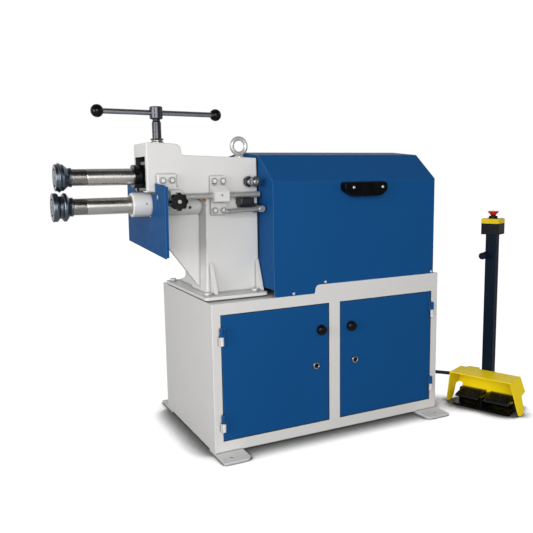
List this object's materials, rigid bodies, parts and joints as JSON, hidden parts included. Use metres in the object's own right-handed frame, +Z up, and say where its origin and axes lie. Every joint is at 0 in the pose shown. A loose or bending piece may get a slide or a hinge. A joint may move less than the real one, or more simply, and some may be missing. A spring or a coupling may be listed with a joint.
{
  "type": "motorised beading machine",
  "caption": "Motorised beading machine on a two-door steel cabinet, with cantilevered upper and lower roll shafts, a rocking arm, a screw feed, a sliding stop and a guarded foot pedal station.",
  "frame": {"origin": "on the floor, at the centre of the four anchor holes in the cabinet's foot plates", "axes": "+X along the cabinet front from the roll end to the cover end, +Y from the front to the back, +Z up"},
  "size_m": [1.6908, 0.886, 1.0775],
  "materials": {
    "light_grey_paint": "semi-gloss",
    "blue_paint": "semi-gloss",
    "zinc_steel": "zinc plated",
    "polished_steel": "ground and polished",
    "dark_steel": "blackened",
    "bronze": "machined bronze",
    "black_plastic": "moulded",
    "motor_paint": "satin",
    "box_grey": "textured powder coat",
    "dark_paint": "semi-gloss",
    "tread_rubber": "ribbed",
    "yellow_paint": "semi-gloss",
    "red_plastic": "moulded",
    "cable_black": "matt sheath"
  },
  "bodies": {
    "machine": {"cabinet_walls": "light_grey_paint", "cabinet_top": "light_grey_paint", "cabinet_floor": "light_grey_paint", "front_frame": "light_grey_paint", "rear_panel": "light_grey_paint", "foot_plates": "light_grey_paint", "hinge_pins": "zinc_steel", "panel_screws": "zinc_steel", "frame_bolts": "zinc_steel", "bracket_bolts": "light_grey_paint", "machine_frame": "light_grey_paint", "frame_foot": "light_grey_paint", "lifting_eye": "zinc_steel", "lower_bearing_tube": "light_grey_paint", "trunnion_screws": "zinc_steel", "frame_bushes": "bronze", "stop_clamp_bracket": "light_grey_paint", "stop_guide_bracket": "light_grey_paint", "clamp_bracket": "dark_steel", "drive_cover": "blue_paint", "cover_pull": "black_plastic", "gear_reducer": "motor_paint", "drive_motor": "motor_paint", "control_box": "box_grey", "pedal_base": "dark_paint", "pedal_guard": "yellow_paint", "pedal_post": "dark_paint", "estop_box": "dark_paint", "estop_lid": "yellow_paint", "pedal_cable": "cable_black", "cable_gland": "black_plastic"},
    "door_left": {"door_left": "blue_paint"},
    "door_right": {"door_right": "blue_paint"},
    "latch_left": {"latch_left": "black_plastic"},
    "latch_right": {"latch_right": "black_plastic"},
    "lock_left": {"lock_left": "polished_steel"},
    "lock_right": {"lock_right": "polished_steel"},
    "arm": {"rocking_arm": "dark_steel", "keeper_plate": "dark_steel", "slotted_ring_nut": "dark_steel", "arm_bushes": "bronze"},
    "upper_spindle": {"upper_shaft": "polished_steel", "upper_roll": "dark_steel", "upper_roll_nut": "dark_steel", "upper_gear": "dark_steel"},
    "lower_spindle": {"lower_shaft": "polished_steel", "lower_roll": "dark_steel", "lower_roll_nut": "dark_steel", "lower_gear": "dark_steel"},
    "feed_pad": {"thrust_pad": "dark_steel"},
    "feed_handle": {"feed_screw": "polished_steel", "feed_bar": "polished_steel"},
    "stop": {"stop_plate": "blue_paint", "stop_rod": "polished_steel"},
    "star_knob": {"star_knob": "black_plastic"},
    "clamp_lever": {"clamp_lever": "polished_steel"},
    "treadle_left": {"treadle_left": "tread_rubber"},
    "treadle_right": {"treadle_right": "tread_rubber"},
    "estop_plunger": {"estop_plunger": "black_plastic"},
    "estop_button": {"estop_button": "red_plastic"}
  },
  "joints": [
    {"name": "door_left_hinge", "type": "hinge", "parent": "machine", "child": "door_left", "pos_m": [-0.406, -0.2476, 0.24], "axis": [0, 0, -1], "range_deg": [0, 115]},
    {"name": "door_right_hinge", "type": "hinge", "parent": "machine", "child": "door_right", "pos_m": [0.406, -0.2476, 0.24], "axis": [0, 0, 1], "range_deg": [0, 115]},
    {"name": "latch_left_turn", "type": "hinge", "parent": "door_left", "child": "latch_left", "pos_m": [-0.0535, -0.241, 0.3595], "axis": [0, 1, 0], "range_deg": [0, 90]},
    {"name": "latch_right_turn", "type": "hinge", "parent": "door_right", "child": "latch_right", "pos_m": [0.0625, -0.241, 0.3595], "axis": [0, -1, 0], "range_deg": [0, 90]},
    {"name": "lock_left_turn", "type": "hinge", "parent": "door_left", "child": "lock_left", "pos_m": [-0.0725, -0.241, 0.24], "axis": [0, 1, 0], "range_deg": [0, 90]},
    {"name": "lock_right_turn", "type": "hinge", "parent": "door_right", "child": "lock_right", "pos_m": [0.0795, -0.241, 0.24], "axis": [0, -1, 0], "range_deg": [0, 90]},
    {"name": "arm_swing", "type": "hinge", "parent": "machine", "child": "arm", "pos_m": [-0.258, -0.065, 0.845], "axis": [0, 1, 0], "range_deg": [-0.4, 2]},
    {"name": "upper_spindle_turn", "type": "hinge", "parent": "arm", "child": "upper_spindle", "pos_m": [-0.5, -0.065, 0.8665], "axis": [1, 0, 0], "continuous": true},
    {"name": "lower_spindle_turn", "type": "hinge", "parent": "machine", "child": "lower_spindle", "pos_m": [-0.5, -0.065, 0.7805], "axis": [1, 0, 0], "continuous": true},
    {"name": "feed_slide", "type": "slide", "parent": "machine", "child": "feed_pad", "axis": [0, 0, 1], "range_m": [-0.002, 0.0096]},
    {"name": "feed_turn", "type": "hinge", "parent": "feed_pad", "child": "feed_handle", "pos_m": [-0.53, -0.065, 1], "axis": [0, 0, 1], "range_deg": [-165, 850]},
    {"name": "stop_slide", "type": "slide", "parent": "machine", "child": "stop", "axis": [1, 0, 0], "range_m": [-0.1, 0]},
    {"name": "star_knob_turn", "type": "hinge", "parent": "machine", "child": "star_knob", "pos_m": [-0.5105, -0.19, 0.791], "axis": [0, 1, 0], "range_deg": [-180, 360]},
    {"name": "clamp_lever_turn", "type": "hinge", "parent": "machine", "child": "clamp_lever", "pos_m": [-0.237, -0.186, 0.76], "axis": [0, -1, 0], "range_deg": [0, 75]},
    {"name": "treadle_left_press", "type": "hinge", "parent": "machine", "child": "treadle_left", "pos_m": [0.6118, -0.25265, 0.042], "axis": [0.3907, -0.9205, 0], "range_deg": [0, 12], "stiffness_Nm_per_rad": 6, "springref_deg": -11.46},
    {"name": "treadle_right_press", "type": "hinge", "parent": "machine", "child": "treadle_right", "pos_m": [0.65361, -0.35115, 0.042], "axis": [0.3907, -0.9205, 0], "range_deg": [0, 12], "stiffness_Nm_per_rad": 6, "springref_deg": -11.46},
    {"name": "estop_press", "type": "slide", "parent": "machine", "child": "estop_plunger", "axis": [0, 0, -1], "range_m": [0, 0.004], "stiffness_N_per_m": 1500, "springref_m": -0.002},
    {"name": "estop_twist", "type": "hinge", "parent": "estop_plunger", "child": "estop_button", "pos_m": [0.66143, -0.27232, 0.712], "axis": [0, 0, -1], "range_deg": [0, 40], "stiffness_Nm_per_rad": 0.2, "springref_deg": -5.73}
  ],
  "couplings": [
    {"joint": "arm_swing", "follows": "feed_turn", "ratio": 0.0023405},
    {"joint": "feed_slide", "follows": "feed_turn", "m_per_rad": 0.00063662},
    {"joint": "upper_spindle_turn", "follows": "lower_spindle_turn", "ratio": -1}
  ]
}
